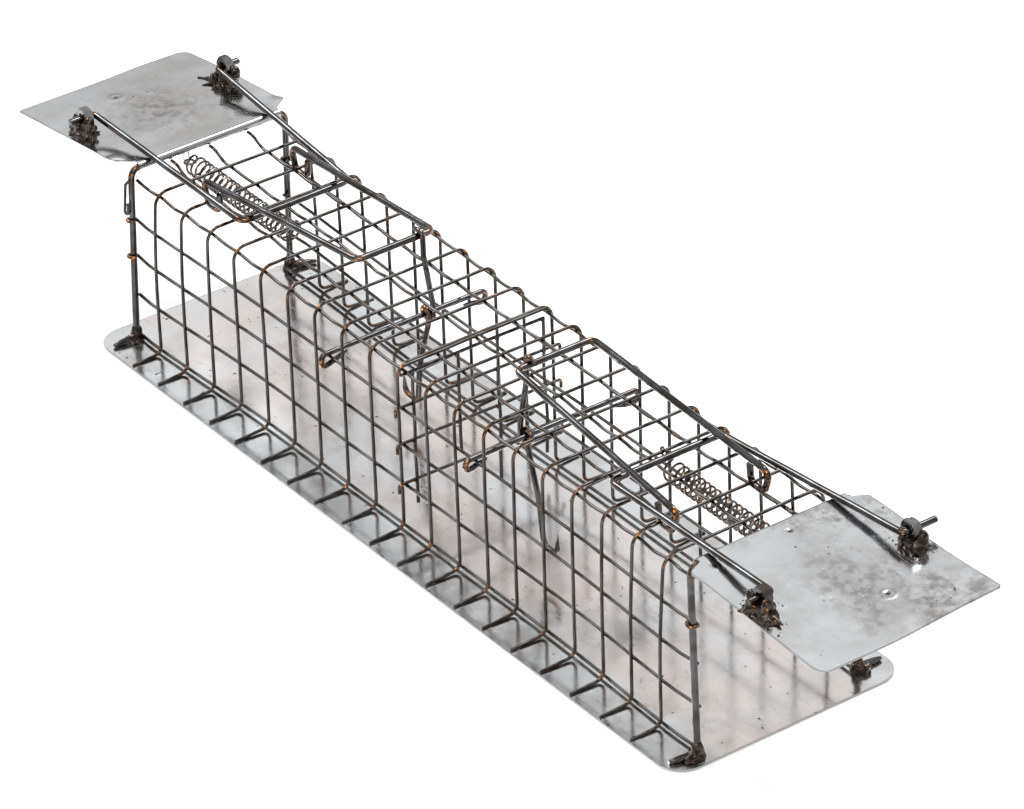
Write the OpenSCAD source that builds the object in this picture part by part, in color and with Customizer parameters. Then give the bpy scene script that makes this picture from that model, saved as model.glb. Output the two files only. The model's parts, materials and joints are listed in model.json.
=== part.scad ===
// Live catch trap with two entrances and two chambers, all of steel wire and sheet.
// Millimetres. +Z is up, X runs along the cage, and the origin is under its middle.
// Each end is built once, on the +X side, and turned half round for the other end.

/* [Cage] */
// Distance between neighbouring arches
mesh_pitch = 20; // [19:0.5:21]
// Number of arches along the cage
arch_count = 19; // [17:2:21]
// Height of the arches' top wire above the base plate
roof_height = 81; // [78:1:84]
// Distance from the middle of the cage to the centre of an arch's leg
arch_half_width = 39.6; // [38:0.2:42]
// Distance between neighbouring roof wires
roof_wire_pitch = 20; // [19:0.5:21]
// Diameter of the thin mesh wire
mesh_wire = 1.5; // [1.2:0.1:1.8]
// Diameter of the thick wire of the door frames and bails
frame_wire = 3; // [2.6:0.1:3.2]

/* [Base plate] */
// Thickness of the base sheet
plate_thick = 0.6; // [0.5:0.1:1]
// Width of the base sheet
plate_width = 117; // [114:1:124]
// How far the base sheet reaches past each door frame
plate_overhang = 12.5; // [12:0.5:16]
// Radius of the base sheet's corners
plate_corner = 12; // [6:1:16]

/* [Doors] */
// Height of the doors' hinge line above the base plate
hinge_height = 86; // [85:0.5:88]
// Length of a door from its hinge line to its free edge
door_length = 86.4; // [84:0.2:86.4]
// Width of a door
door_width = 89; // [86:1:92]
// Thickness of the door sheet
door_sheet = 0.5; // [0.4:0.1:0.6]
// Slope of the left door below level when the trap is set
left_open_angle = 7; // [3:0.5:8]
// Slope of the right door below level when the trap is set
right_open_angle = 3; // [3:0.5:8]

/* [Door bails] */
// Distance from the hinge line out to the lug nuts
lug_reach = 41; // [38:1:44]
// Distance from the middle of the door to the middle of each lug nut
lug_offset = 37; // [35:0.5:38]
// Distance across the flats of a lug nut
nut_flats = 8; // [7:0.5:9]
// Thickness of a lug nut
nut_thick = 4; // [3:0.5:5]
// Length of a door bail from its lugs to its crossbar
door_bail_length = 109; // [109:0.5:110]
// Slope of a door bail's legs when the trap is set
door_bail_slope = 3.5; // [3:0.25:4]

/* [Latch bails] */
// Distance between the two hooks of a latch bail
latch_hook_gap = 46; // [45.5:0.5:47]
// Width of a latch bail at its crossbar
latch_tip_width = 39; // [36:0.5:40]
// Slope of a latch bail's legs when the trap is set
latch_slope = 5.3; // [5:0.1:5.6]
// Where the latch bail's crossbar lies, from the middle of the cage
latch_bar_x = 56; // [54:1:58]

/* [Triggers] */
// Where the trigger axle crosses the cage, from the middle
axle_x = 52; // [50:0.5:54]
// Diameter of the axle rod
axle_wire = 2.5; // [2:0.1:3]
// Diameter of the trigger wire
trigger_wire = 2.5; // [2:0.1:2.8]
// Where the trigger stands across the cage
trigger_y = -12; // [-14:0.5:-8]
// Gap between the bait hook and the base plate
bait_hook_gap = 12; // [5:1:20]

/* [Springs] */
// Outer diameter of the spring coil
spring_outer = 10; // [8:0.5:10]
// Diameter of the spring wire
spring_wire = 1.1; // [0.8:0.1:1.2]
// Number of turns in each spring
spring_turns = 22; // [14:1:24]
// Where the spring lies across the cage
spring_y = 6.5; // [6:0.5:9]

/* [Hidden] */
$fn = 32;

ARCHES = [for (i = [1 : arch_count]) str("arch_", i < 10 ? "0" : "", i)];
SIDES = ["left", "right"];
CORNERS = ["front", "rear"];

// Colours
plate_colour = "gainsboro";
door_colour = "silver";
mesh_colour = "dimgray";
frame_colour = "slategray";
weld_colour = "saddlebrown";
spring_colour = "darkgray";

// How deep two welded wires sink into each other
weld_bite = 0.02;
// Clearance left between pieces that move past each other
play = 0.35;
// How far a straight run laps into the next bend, and how much thinner it is there
bend_lap = 0.1;
bend_step = 0.02;

// Cage
floor_z = plate_thick;
arch_top_z = floor_z + roof_height;
arch_bend = 6;
foot_bend = 4;
arch_foot_y = plate_width / 2 - 0.9;
arch_foot_z = floor_z + mesh_wire / 2 - weld_bite;
inner_wire_y = arch_half_width - mesh_wire + weld_bite;
roof_wire_z = arch_top_z - mesh_wire + weld_bite;
corner_wire_inset = arch_bend - (arch_bend - mesh_wire + weld_bite) * sin(45);
side_wire_heights = [2.2, 22.5, 42, 60];
low_wire_rise = arch_foot_z + foot_bend - floor_z - side_wire_heights[0];
low_wire_y = arch_half_width + foot_bend
    - sqrt(pow(foot_bend + mesh_wire - weld_bite, 2) - pow(low_wire_rise, 2));
portal_half_width = inner_wire_y + (frame_wire + mesh_wire) / 2 + 0.1;
portal_bend = 5;
portal_foot_z = floor_z + frame_wire / 2 - weld_bite;
portal_foot_y = plate_width / 2 - 3;
foot_lean = 3;
foot_splay = 7;
foot_toe_in = 3;
portal_x = (arch_count + 1) * mesh_pitch / 2 - 2;
plate_length = 2 * (portal_x + plate_overhang);

// Doors
hinge_z = floor_z + hinge_height;
curl_inner = frame_wire / 2 + 0.1;
curl_outer = curl_inner + door_sheet;
curl_half_width = portal_half_width - portal_bend - 2 * play;
notch_start = 2;
notch_depth = 5;
door_corner = 3;
curl_mouth_x = 0.2;
spring_hole_radius = 1.3;
spring_hole_x = 10;
spring_hole_drop = 10.7;
spring_tab_radius = 2.7;

// Door bails: the legs pass just over the hinge curl
bail_over_hinge = (curl_outer + frame_wire / 2 + play) / cos(door_bail_slope);
lug_x = portal_x + lug_reach;
lug_z = hinge_z + bail_over_hinge + lug_reach * tan(door_bail_slope);
lug_bend = 2.2;
bail_leg_y = lug_offset - nut_thick / 2 - play - lug_bend;
bail_tip_y = lug_offset + nut_thick / 2 + 4;
bail_bar_y = 28;
bail_bar_x = lug_x - door_bail_length * cos(door_bail_slope);
bail_bar_z = lug_z - door_bail_length * sin(door_bail_slope);
bail_bend = 4;
lug_weld_radius = 6.5;
lug_weld_top_radius = 3.2;
lug_weld_shift = 2;
lug_weld_overlap = 0.8;

// Latch bails: the legs pass over the door bail's crossbar
latch_gap = 2.5;
latch_pivot_x = (arch_count - 3) / 2 * mesh_pitch;
function latch_leg_z(x) = bail_bar_z + frame_wire + latch_gap + (bail_bar_x - x) * tan(latch_slope);
latch_bar_z = latch_leg_z(latch_bar_x);
latch_bend = 3.4;
hook_reach = 4.4;
hook_drop = 4.2;
hook_tip_rise = 4.5;
hook_shoulder_x = latch_pivot_x + 7.5;

// Triggers
axle_z = floor_z + side_wire_heights[3] + (mesh_wire + axle_wire) / 2 - weld_bite;
axle_end_y = arch_half_width + 3.6;
axle_hook_back = 11;
axle_hook_drop = 5.8;
axle_hook_rise = 2.5;
axle_tip_z = axle_z - axle_hook_drop + axle_hook_rise;
axle_bend = 2.5;
eye_radius = axle_wire / 2 + play + trigger_wire / 2;
trigger_arm_x = axle_x - eye_radius;
trigger_top_z = latch_bar_z + (frame_wire + trigger_wire) / 2 + play;
trigger_front_x = latch_bar_x - (frame_wire + trigger_wire) / 2 - play;
trigger_lip = 6.2;
trigger_lip_drop = 0.6;
trigger_shoulder_drop = 8;
trigger_bend = 2.6;
bait_start = eye_radius * [0.8, -0.4];
bait_arm_x = axle_x + 9.5;
bait_hook_reach = 9;
bait_tip_height = 10;
bait_tip_lean = 1;
bait_hook_bend = 3.9;
bait_hook_z = floor_z + bait_hook_gap + trigger_wire / 2;

// Springs
spring_radius = (spring_outer - spring_wire) / 2;
spring_z = roof_wire_z - mesh_wire / 2 - spring_outer / 2 + 1;
spring_anchor_x = (arch_count - 7) / 2 * mesh_pitch;
spring_anchor_z = arch_top_z - 0.2;
spring_anchor_radius = 1.9;
spring_start_x = spring_anchor_x + 5;
spring_end_x = portal_x + 2.5;
spring_hook_radius = 2.2;

function unit(v) = v / norm(v);
function turn(p, i) = acos(unit(p[i] - p[i - 1]) * unit(p[i + 1] - p[i]));
function radius_at(r, i) = is_list(r) ? r[i - 1] : r;
function trim(p, i, r) = i == 0 || i == len(p) - 1 ? 0 : radius_at(r, i) * tan(turn(p, i) / 2);
function any_across(v) = unit(abs(v.z) < 0.9 ? cross([0, 0, 1], v) : cross([1, 0, 0], v));

// Sets its child's X along x and its Z along z, with its origin at p
module placed(p, x, z) {
    y = cross(z, x);
    multmatrix([
        [x.x, y.x, z.x, p.x],
        [x.y, y.y, z.y, p.y],
        [x.z, y.z, z.z, p.z]
    ]) children();
}

// A round wire of diameter d through the points p, bent to the radius r, or to each of the radii r
module bent_wire(p, r, d) {
    last = len(p) - 1;
    for (i = [0 : last - 1]) {
        along = unit(p[i + 1] - p[i]);
        run = norm(p[i + 1] - p[i]) - trim(p, i, r) - trim(p, i + 1, r);
        back = i == 0 ? 0 : bend_lap;
        ahead = i == last - 1 ? 0 : bend_lap;
        start = p[i] + along * (trim(p, i, r) - back);
        if (run > 0.001)
            placed(start, any_across(along), along)
                cylinder(h = run + back + ahead, d = d - (last > 1 ? bend_step : 0));
    }
    if (last > 1)
        for (i = [1 : last - 1]) {
            before = unit(p[i] - p[i - 1]);
            axis = unit(cross(before, unit(p[i + 1] - p[i])));
            outward = cross(before, axis);
            bend = radius_at(r, i);
            centre = p[i] - before * trim(p, i, r) - outward * bend;
            placed(centre, outward, axis)
                rotate_extrude(angle = turn(p, i))
                    translate([bend, 0])
                        circle(d = d);
        }
}

// Builds its child for one end: as drawn on the right, turned half round on the left
module on_side(side) {
    rotate([0, 0, side == "left" ? 180 : 0]) children();
}

// Front and rear change places when an end is turned round
function corner_sign(side, corner) = (corner == "front" ? -1 : 1) * (side == "left" ? -1 : 1);

module rounded_rectangle(x, y, r) {
    square([x - 2 * r, y], center = true);
    square([x, y - 2 * r], center = true);
    for (i = [-1, 1], j = [-1, 1])
        translate([i * (x / 2 - r), j * (y / 2 - r)]) circle(r);
}

// ---- Cage ----

module base_plate() {
    color(plate_colour)
        linear_extrude(plate_thick)
            rounded_rectangle(plate_length, plate_width, plate_corner);
}

// The points of an inverted U across the cage, with its feet bent out
function hoop(x, half, top, foot_y, foot_z) = [
    [x, -foot_y, foot_z], [x, -half, foot_z], [x, -half, top],
    [x, half, top], [x, half, foot_z], [x, foot_y, foot_z]
];

// A door frame. Its legs lean out towards their feet, and one foot stands further out
portal_points = [
    [portal_x + foot_splay - foot_toe_in, -portal_foot_y, portal_foot_z],
    [portal_x + foot_splay, -portal_half_width - foot_lean, portal_foot_z],
    [portal_x, -portal_half_width, hinge_z],
    [portal_x, portal_half_width, hinge_z],
    [portal_x, portal_half_width + foot_lean, portal_foot_z],
    [portal_x, portal_foot_y, portal_foot_z]
];

module portal(side) {
    color(frame_colour)
        on_side(side)
            bent_wire(portal_points, portal_bend, frame_wire);
}

module arch(index) {
    x = (index - (arch_count + 1) / 2) * mesh_pitch;
    color(mesh_colour)
        bent_wire(
            hoop(x, arch_half_width, arch_top_z, arch_foot_y, arch_foot_z),
            [foot_bend, arch_bend, arch_bend, foot_bend],
            mesh_wire
        );
}

module long_wire(y, z, half_length) {
    translate([-half_length, y, z])
        rotate([0, 90, 0])
            cylinder(h = 2 * half_length, d = mesh_wire);
}

// The outer two lie inside the arches' corner bends, the others under their tops
module roof_wires() {
    corner_y = arch_half_width - corner_wire_inset;
    color(mesh_colour) {
        for (y = [-corner_y, corner_y]) long_wire(y, arch_top_z - corner_wire_inset, portal_x - 3);
        for (i = [-1 : 1]) long_wire(i * roof_wire_pitch, roof_wire_z, portal_x - 4);
    }
}

// The lowest wire lies in the bend of the arches' feet, the others against their legs
module side_wires(wall) {
    color(mesh_colour)
        for (i = [0 : len(side_wire_heights) - 1])
            long_wire(
                wall * (i == 0 ? low_wire_y : inner_wire_y),
                floor_z + side_wire_heights[i],
                portal_x + mesh_wire
            );
}

// ---- Partition between the two chambers ----

partition_x = mesh_wire - weld_bite;
partition_heights = [for (i = [1 : 3]) floor_z + side_wire_heights[i] + mesh_wire - weld_bite];
partition_bar_reach = arch_half_width + 2.6;
partition_bar_hook = 4;
hairpin_depth = 4.3;
hairpin_bend = 2.1;
drop_places = [-34, -11, 9, 23, 33];
drop_ends = [14, 30, 9, 20, 12];

// The wires across it: a hairpin at the top, which hooks round a corner wire, and three bars
module partition_bars() {
    top_z = arch_top_z;
    flat = arch_half_width - arch_bend;
    color(mesh_colour) {
        bent_wire(
            [
                [partition_x, flat + 3, top_z],
                [partition_x, -arch_half_width, top_z],
                [partition_x, -arch_half_width, top_z - hairpin_depth],
                [partition_x, flat, top_z - hairpin_depth]
            ],
            hairpin_bend,
            mesh_wire
        );
        for (z = partition_heights)
            bent_wire(
                [
                    [partition_x, -partition_bar_reach, z - partition_bar_hook],
                    [partition_x, -partition_bar_reach, z],
                    [partition_x, partition_bar_reach, z],
                    [partition_x, partition_bar_reach, z - partition_bar_hook]
                ],
                mesh_wire,
                mesh_wire
            );
    }
}

module partition_drops() {
    drop_x = partition_x + mesh_wire - weld_bite;
    drop_top = arch_top_z - hairpin_depth + mesh_wire;
    color(mesh_colour)
        for (i = [0 : len(drop_places) - 1])
            translate([drop_x, drop_places[i], drop_ends[i]])
                cylinder(h = drop_top - drop_ends[i], d = mesh_wire);
}

// ---- Doors ----

function open_angle(side) = side == "left" ? left_open_angle : right_open_angle;

// Places its child on the hinge line, at the slope of the set trap
module on_hinge(side) {
    on_side(side)
        translate([portal_x, 0, hinge_z])
            rotate([0, open_angle(side), 0])
                children();
}

// The outline of the flat sheet, narrower beside the hinge
module door_outline() {
    half = door_width / 2;
    tip = door_length;
    polygon([
        [0, -curl_half_width], [notch_start, -curl_half_width], [notch_depth, -half],
        [tip - door_corner, -half], [tip - door_corner, half],
        [notch_depth, half], [notch_start, curl_half_width], [0, curl_half_width]
    ]);
    translate([tip - door_corner - 1, -half + door_corner])
        square([door_corner + 1, door_width - 2 * door_corner]);
    for (y = [-half + door_corner, half - door_corner])
        translate([tip - door_corner, y]) circle(door_corner);
}

// The sheet's edge, rolled three quarters round the frame's top wire
module hinge_curl() {
    rotate([90, 0, 0])
        linear_extrude(2 * curl_half_width, center = true)
            difference() {
                circle(curl_outer);
                circle(curl_inner);
                translate([curl_mouth_x, 0]) square([curl_outer, curl_inner]);
                translate([curl_mouth_x, -curl_outer]) square(curl_outer);
            }
}

// A fin under the sheet, with the hole that the spring's end loop passes through
module spring_tab() {
    top = curl_inner + door_sheet / 2;
    translate([spring_hole_x, spring_y + door_sheet / 2, -spring_hole_drop])
        rotate([90, 0, 0])
            linear_extrude(door_sheet)
                difference() {
                    union() {
                        circle(spring_tab_radius);
                        translate([-spring_tab_radius, 0])
                            square([2 * spring_tab_radius, spring_hole_drop + top]);
                    }
                    circle(spring_hole_radius);
                }
}

module door(side) {
    color(door_colour)
        on_hinge(side) {
            translate([0, 0, curl_inner]) linear_extrude(door_sheet) door_outline();
            hinge_curl();
            spring_tab();
        }
}

// ---- Lugs and door bails ----

module lug_nut(side, corner) {
    color(frame_colour)
        on_side(side)
            translate([lug_x, corner_sign(side, corner) * lug_offset, lug_z])
                rotate([90, 0, 0])
                    linear_extrude(nut_thick, center = true)
                        difference() {
                            circle(d = nut_flats / cos(30), $fn = 6);
                            circle(frame_wire / 2 + play);
                        }
}

// A lump of weld between each nut and the door
module lug_welds(side) {
    angle = open_angle(side);
    rise = lug_z - hinge_z;
    weld_x = lug_reach * cos(angle) - rise * sin(angle) + lug_weld_shift;
    weld_height = lug_reach * sin(angle) + rise * cos(angle) - nut_flats / 2 - curl_outer;
    color(weld_colour)
        on_hinge(side)
            for (y = [-lug_offset, lug_offset])
                translate([weld_x, y, curl_outer])
                    cylinder(
                        h = weld_height + lug_weld_overlap,
                        r1 = lug_weld_radius,
                        r2 = lug_weld_top_radius
                    );
}

module door_bail(side) {
    leg = [bail_bar_x, bail_bar_y, bail_bar_z];
    color(frame_colour)
        on_side(side)
            bent_wire(
                [
                    [lug_x, -bail_tip_y, lug_z], [lug_x, -bail_leg_y, lug_z],
                    [leg.x, -leg.y, leg.z], leg,
                    [lug_x, bail_leg_y, lug_z], [lug_x, bail_tip_y, lug_z]
                ],
                [lug_bend, bail_bend, bail_bend, lug_bend],
                frame_wire
            );
}

// ---- Latch bails ----

// Half of a latch bail's path, from the tip of its hook up to its crossbar
function latch_half(wall) = [
    [latch_pivot_x - hook_reach - 0.8, wall * latch_hook_gap / 2, arch_top_z + hook_tip_rise],
    [latch_pivot_x - hook_reach, wall * latch_hook_gap / 2, arch_top_z - hook_drop],
    [latch_pivot_x + hook_reach, wall * latch_hook_gap / 2, arch_top_z - hook_drop],
    [hook_shoulder_x, wall * latch_hook_gap / 2, latch_leg_z(hook_shoulder_x)],
    [latch_bar_x, wall * latch_tip_width / 2, latch_bar_z]
];

module latch_bail(side) {
    far_half = latch_half(1);
    color(frame_colour)
        on_side(side)
            bent_wire(
                concat(latch_half(-1), [for (i = [len(far_half) - 1 : -1 : 0]) far_half[i]]),
                latch_bend,
                frame_wire
            );
}

// ---- Axles and triggers ----

// A rod across the cage, laid on its top side wires. Each end turns down and back in under the wire
module axle(side) {
    color(frame_colour)
        on_side(side)
            bent_wire(
                [
                    [axle_x, axle_hook_back - axle_end_y, axle_tip_z],
                    [axle_x, -axle_end_y, axle_z - axle_hook_drop],
                    [axle_x, -axle_end_y, axle_z],
                    [axle_x, axle_end_y, axle_z],
                    [axle_x, axle_end_y, axle_z - axle_hook_drop],
                    [axle_x, axle_end_y - axle_hook_back, axle_tip_z]
                ],
                axle_bend,
                axle_wire
            );
}

// One wire: the latch hook on top, the eye round the axle, and the bait hook below
module trigger(side) {
    color(mesh_colour)
        on_side(side)
            translate([0, trigger_y, 0]) {
                bent_wire(
                    [
                        [trigger_front_x + trigger_lip, 0, trigger_top_z - trigger_lip_drop],
                        [trigger_front_x, 0, trigger_top_z],
                        [trigger_front_x, 0, latch_bar_z - trigger_shoulder_drop],
                        [trigger_arm_x, 0, axle_z]
                    ],
                    trigger_bend,
                    trigger_wire
                );
                translate([axle_x, 0, axle_z])
                    rotate([90, 0, 0])
                        rotate_extrude()
                            translate([eye_radius, 0])
                                circle(d = trigger_wire + bend_step);
                bent_wire(
                    [
                        [axle_x + bait_start.x, 0, axle_z + bait_start.y],
                        [bait_arm_x, 0, bait_hook_z],
                        [bait_arm_x + bait_hook_reach, 0, bait_hook_z],
                        [bait_arm_x + bait_hook_reach + bait_tip_lean, 0, bait_hook_z + bait_tip_height]
                    ],
                    bait_hook_bend,
                    trigger_wire
                );
            }
}

// ---- Welds at the feet of the door frames ----

foot_weld_height = 5.5;
foot_weld_radius = 4;
foot_weld_top_radius = 2.4;
foot_weld_shift = 1.5;

module foot_welds(side) {
    color(weld_colour)
        on_side(side)
            for (heel = [portal_points[1], portal_points[4]])
                translate([heel.x, heel.y + sign(heel.y) * foot_weld_shift, floor_z])
                    cylinder(h = foot_weld_height, r1 = foot_weld_radius, r2 = foot_weld_top_radius);
}

// ---- Springs ----

coil_steps = 12;
coil_faces = 6;
stub_overlap = 0.3;

// A closed tube along the coil: rings of coil_faces points, joined by triangles
function coil_point(i, j) =
    let (
        t = i / coil_steps,
        a = 360 * t,
        b = 360 * j / coil_faces,
        r = spring_radius + spring_wire / 2 * cos(b)
    ) [
        spring_start_x + (spring_end_x - spring_start_x) * t / spring_turns
            + spring_wire / 2 * sin(b),
        -r * sin(a),
        r * cos(a)
    ];

module spring_coil() {
    rings = coil_steps * spring_turns;
    points = [for (i = [0 : rings], j = [0 : coil_faces - 1]) coil_point(i, j)];
    walls = [
        for (i = [0 : rings - 1], j = [0 : coil_faces - 1])
            let (
                a = i * coil_faces + j,
                b = i * coil_faces + (j + 1) % coil_faces,
                c = a + coil_faces,
                d = b + coil_faces
            )
                each [[a, b, c], [b, d, c]]
    ];
    first_cap = [for (j = [coil_faces - 1 : -1 : 0]) j];
    last_cap = [for (j = [0 : coil_faces - 1]) rings * coil_faces + j];
    polyhedron(points, concat(walls, [first_cap, last_cap]));
}

module spring_ring(r) {
    rotate_extrude()
        translate([r, 0])
            circle(d = spring_wire);
}

module spring_stub(start, coil_x) {
    bent_wire(
        [start, [coil_x, spring_y, spring_z + spring_radius]],
        spring_wire,
        spring_wire - bend_step
    );
}

// Where the hole in a door's fin stands when the trap is set
function spring_hole(angle) = [
    portal_x + spring_hole_x * cos(angle) - spring_hole_drop * sin(angle),
    spring_y,
    hinge_z - spring_hole_x * sin(angle) - spring_hole_drop * cos(angle)
];

// The inner loop hangs from an arch, the outer one passes through the fin under the door
module spring(side) {
    anchor = [spring_anchor_x, spring_y, spring_anchor_z];
    hook = spring_hole(open_angle(side)) - [spring_hook_radius, 0, 0];
    color(spring_colour)
        on_side(side) {
            translate([0, spring_y, spring_z]) spring_coil();
            translate(anchor) rotate([90, 0, 0]) spring_ring(spring_anchor_radius);
            spring_stub(
                anchor + spring_anchor_radius * [0.6, 0, 0.8],
                spring_start_x + stub_overlap
            );
            translate(hook) spring_ring(spring_hook_radius);
            spring_stub(hook - [spring_hook_radius, 0, 0], spring_end_x - stub_overlap);
        }
}

// ---- Choice of piece ----

base_plate();
for (i = [1 : arch_count])
    arch(i);
roof_wires();
side_wires(-1);  // side_wires_front
side_wires(1);  // side_wires_rear
partition_bars();
partition_drops();
for (s = SIDES) {
    portal(s);
    axle(s);
    trigger(s);
    latch_bail(s);
    door(s);
    door_bail(s);
    lug_welds(s);
    foot_welds(s);
    spring(s);
    for (c = CORNERS)
        lug_nut(s, c);
}
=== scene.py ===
"""The looks of the live catch trap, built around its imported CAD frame. Lengths are in metres.

Each end is worked out once, on the +X side, and turned half round for the other end.
"""

import json
import math
import random

import bmesh
import bpy
from mathutils import Matrix, Vector, noise


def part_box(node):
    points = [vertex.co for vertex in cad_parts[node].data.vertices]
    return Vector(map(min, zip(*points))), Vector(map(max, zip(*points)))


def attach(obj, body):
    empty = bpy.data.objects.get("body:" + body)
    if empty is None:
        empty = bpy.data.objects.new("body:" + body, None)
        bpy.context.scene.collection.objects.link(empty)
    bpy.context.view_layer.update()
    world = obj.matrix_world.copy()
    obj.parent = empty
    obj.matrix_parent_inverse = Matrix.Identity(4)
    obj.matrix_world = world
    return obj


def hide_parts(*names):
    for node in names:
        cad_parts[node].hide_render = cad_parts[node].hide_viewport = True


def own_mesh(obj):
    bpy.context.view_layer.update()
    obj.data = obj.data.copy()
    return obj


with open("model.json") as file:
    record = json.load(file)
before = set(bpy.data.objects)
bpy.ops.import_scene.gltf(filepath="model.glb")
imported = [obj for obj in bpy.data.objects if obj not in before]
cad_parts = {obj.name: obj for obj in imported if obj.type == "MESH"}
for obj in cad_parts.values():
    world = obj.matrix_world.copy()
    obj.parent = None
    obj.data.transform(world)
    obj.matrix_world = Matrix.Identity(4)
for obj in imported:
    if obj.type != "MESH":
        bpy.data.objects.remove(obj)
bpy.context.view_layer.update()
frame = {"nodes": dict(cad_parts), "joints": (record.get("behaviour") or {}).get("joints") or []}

# Without this, noise_vector takes new offsets from the clock in every run
noise.seed_set(1)

MM = 0.001
UP = Vector((0, 0, 1))
SIDES = ("left", "right")
WALLS = (-1, 1)

# ---- Sizes that the frame tells ----

joint_at = {j["name"]: Vector(j["pos_m"]) for j in frame["joints"]}
hinge = joint_at["right_door_hinge"]
lug = joint_at["right_door_bail_swing"]
latch_pivot = joint_at["right_latch_bail_swing"]
axle_at = joint_at["right_trigger_tilt"]
ARCHES = sorted(n for n in frame["nodes"] if n.startswith("arch_"))

plate_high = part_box("base_plate")[1]
floor_z = plate_high.z
arch_low, arch_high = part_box(ARCHES[0])
mesh_wire = arch_high.x - arch_low.x
arch_top = arch_high.z - mesh_wire / 2
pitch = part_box(ARCHES[1])[0].x - arch_low.x
# The legs of the latch bail are this far off the middle at its hooks, so its width gives the thick wire
LATCH_HOOK_Y = 23 * MM
latch_low, latch_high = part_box("latch_bail_right")
frame_wire = (latch_high.y - latch_low.y) - 2 * LATCH_HOOK_Y
roof_low, roof_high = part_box("roof_wires")
corner_y = roof_high.y - mesh_wire / 2

# ---- Sizes that repeat the CAD model's own ----

SIDE_WIRE_HEIGHTS = [h * MM for h in (2.2, 22.5, 42, 60)]
ARCH_HALF = 39.6 * MM
INNER_Y = 38.12 * MM
LOW_WIRE_Y = 38.74 * MM
PORTAL_HALF = 40.47 * MM
FOOT_LEAN = 3 * MM
FOOT_SPLAY = 7 * MM
FOOT_TOE_IN = 3 * MM
DOOR_LENGTH = 86.4 * MM
DOOR_HALF = 44.5 * MM
DOOR_SHEET = 0.5 * MM
CURL_HALF = 37.2 * MM
CURL_RADIUS = frame_wire / 2 + 0.1 * MM + DOOR_SHEET / 2
DOOR_CORNERS = {-1: 5 * MM, 1: 1.4 * MM}
OPEN_SLOPE = {"left": math.radians(7), "right": math.radians(3)}
LUG_Y = 37 * MM
NUT_FLATS = 8 * MM
NUT_THICK = 4 * MM
BAIL_LEG_Y = 32.45 * MM
BAIL_TIP_Y = 43 * MM
BAIL_BAR_Y = 28 * MM
BAIL_LENGTH = 109 * MM
BAIL_SLOPE = math.radians(3.5)
LATCH_TIP_Y = 19.5 * MM
LATCH_SLOPE = math.radians(5.3)
LATCH_GAP = 2.5 * MM
LATCH_BAR_X = 56 * MM
AXLE_WIRE = 2.5 * MM
TRIGGER_Y = -12 * MM
TRIGGER_WIRE = 2.5 * MM
PARTITION_X = 1.48 * MM
HAIRPIN_DEPTH = 4.3 * MM
SPRING_TURNS = 22
SPRING_WIRE = 1.1 * MM
SPRING_RADIUS = 4.45 * MM
SPRING_Y = 6.5 * MM
SPRING_DROP = 6.25 * MM
SPRING_HOLE = Vector((10, 6.5, -10.7)) * MM
PLAY = 0.35 * MM

# How dark the cut edge of a sheet is
CUT_EDGE = 0.6


def mm(*lengths):
    """A vector given in millimetres."""
    return Vector([v * MM for v in lengths])


def on_side(side, p):
    """A point worked out for the right-hand end, moved to the end it belongs to."""
    p = Vector(p)
    return p if side == "right" else Vector((-p.x, -p.y, p.z))


# ---- Nodes and materials ----


def shader_node(tree, kind, inputs=None, **settings):
    made = tree.nodes.new(kind)
    for key, value in settings.items():
        setattr(made, key, value)
    for key, value in (inputs or {}).items():
        if isinstance(value, bpy.types.NodeSocket):
            tree.links.new(value, made.inputs[key])
        else:
            made.inputs[key].default_value = value
    return made


def cloud(tree, place, size, detail=3.0, roughness=0.55, stretch=(1, 1, 1), turn=0.0):
    """Noise from 0 to 1 whose features are about size across, longer where stretch is larger."""
    moved = shader_node(
        tree, "ShaderNodeMapping",
        {"Vector": place, "Scale": [1 / (size * s) for s in stretch], "Rotation": (0, 0, turn)},
        vector_type="POINT",
    )
    made = shader_node(
        tree, "ShaderNodeTexNoise",
        {"Vector": moved.outputs[0], "Scale": 1.0, "Detail": detail, "Roughness": roughness},
    )
    return made.outputs["Fac"]


def levels(tree, value, low, high, out_low=0.0, out_high=1.0):
    made = shader_node(
        tree, "ShaderNodeMapRange",
        {"Value": value, "From Min": low, "From Max": high, "To Min": out_low, "To Max": out_high},
        interpolation_type="SMOOTHSTEP",
    )
    return made.outputs["Result"]


def mixed(tree, amount, a, b):
    """The colour b over the colour a. Inputs 6 and 7 and output 2 are the node's colour sockets."""
    a, b = ((*colour, 1.0) if isinstance(colour, tuple) else colour for colour in (a, b))
    inputs = {"Factor": amount, 6: a, 7: b}
    return shader_node(tree, "ShaderNodeMix", inputs, data_type="RGBA").outputs[2]


def product(tree, a, b):
    return shader_node(tree, "ShaderNodeMath", {0: a, 1: b}, operation="MULTIPLY").outputs[0]


def bumped(tree, height, distance, strength, under=None):
    inputs = {"Height": height, "Distance": distance, "Strength": strength}
    if under is not None:
        inputs["Normal"] = under
    return shader_node(tree, "ShaderNodeBump", inputs).outputs["Normal"]


def painted(tree, name):
    """An amount from 0 to 1 that the mesh carries at its vertices."""
    settings = {"attribute_type": "GEOMETRY", "attribute_name": name}
    return shader_node(tree, "ShaderNodeAttribute", **settings).outputs["Fac"]


def new_metal(name, metallic=1.0):
    made = bpy.data.materials.new(name)
    made.use_nodes = True
    tree = made.node_tree
    shader = tree.nodes["Principled BSDF"]
    shader.inputs["Metallic"].default_value = metallic
    place = shader_node(tree, "ShaderNodeTexCoord").outputs["Object"]
    return made, tree, shader, place


# The first colour is the orange of the glints painted at the wires' bends, painted highlights of warm
# light.
BEND_GLINT = (0.55, 0.21, 0.05)
# The second colour is a painted warm reflection, put in a strip down the middle of the base sheet.
PAINTED_WARM_REFLECTION = (0.90, 0.80, 0.76)
SPATTER = (0.05, 0.04, 0.035)
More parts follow.
